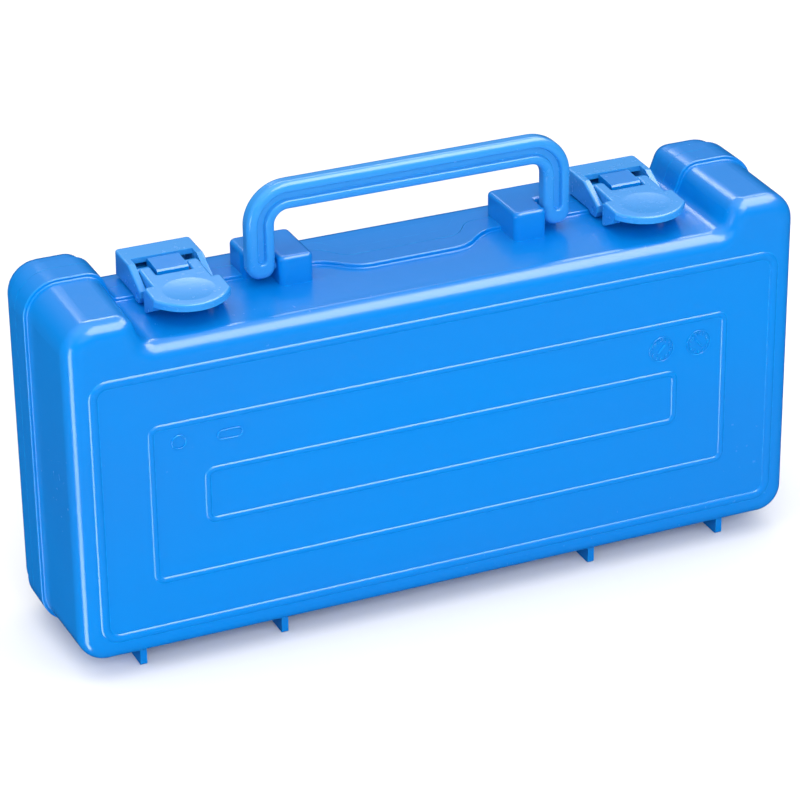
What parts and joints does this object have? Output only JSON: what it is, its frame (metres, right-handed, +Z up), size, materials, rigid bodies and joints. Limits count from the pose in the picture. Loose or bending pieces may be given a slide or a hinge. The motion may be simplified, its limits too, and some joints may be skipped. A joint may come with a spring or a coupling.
{
  "type": "plastic tool case",
  "caption": "Long plastic tool case of two hinged half shells with raised parting band, folding handle, two draw latches and thin skid feet.",
  "frame": {"origin": "centre of the bounding box at the height of the feet's undersides", "axes": "+X along the length to the right, +Y to the rear, +Z up; the deep front shell's face looks along -Y"},
  "size_m": [0.38, 0.09, 0.2199],
  "materials": {
    "shell": "glossy moulded polypropylene",
    "fittings": "satin-gloss moulded polypropylene",
    "rods": "plain drawn wire"
  },
  "bodies": {
    "front_shell": {"front_shell": "shell", "left_handle_pin": "fittings", "right_handle_pin": "fittings", "left_lever_pin": "rods", "right_lever_pin": "rods", "left_hinge_pin": "rods", "right_hinge_pin": "rods"},
    "rear_shell": {"rear_shell": "shell"},
    "handle": {"handle": "fittings"},
    "left_lever": {"left_latch_lever": "fittings"},
    "right_lever": {"right_latch_lever": "fittings"},
    "left_bail": {"left_latch_bail": "fittings"},
    "right_bail": {"right_latch_bail": "fittings"}
  },
  "joints": [
    {"name": "lid_hinge", "type": "hinge", "parent": "front_shell", "child": "rear_shell", "pos_m": [0, 0.0195, 0.0034], "axis": [-1, 0, 0], "range_deg": [0, 180]},
    {"name": "handle_fold", "type": "hinge", "parent": "front_shell", "child": "handle", "pos_m": [0, -0.0013, 0.1778], "axis": [1, 0, 0], "range_deg": [0, 90]},
    {"name": "left_lever_lift", "type": "hinge", "parent": "front_shell", "child": "left_lever", "pos_m": [-0.1178, 0.0113, 0.1777], "axis": [-1, 0, 0], "range_deg": [0, 75]},
    {"name": "right_lever_lift", "type": "hinge", "parent": "front_shell", "child": "right_lever", "pos_m": [0.1178, 0.0113, 0.1777], "axis": [-1, 0, 0], "range_deg": [0, 75]},
    {"name": "left_bail_swing", "type": "hinge", "parent": "left_lever", "child": "left_bail", "pos_m": [-0.1178, 0.0012, 0.174], "axis": [1, 0, 0], "range_deg": [0, 91.88]},
    {"name": "right_bail_swing", "type": "hinge", "parent": "right_lever", "child": "right_bail", "pos_m": [0.1178, 0.0012, 0.174], "axis": [1, 0, 0], "range_deg": [0, 91.88]}
  ],
  "couplings": [
    {"joint": "left_bail_swing", "follows": "left_lever_lift", "ratio": 1.225},
    {"joint": "right_bail_swing", "follows": "right_lever_lift", "ratio": 1.225}
  ]
}
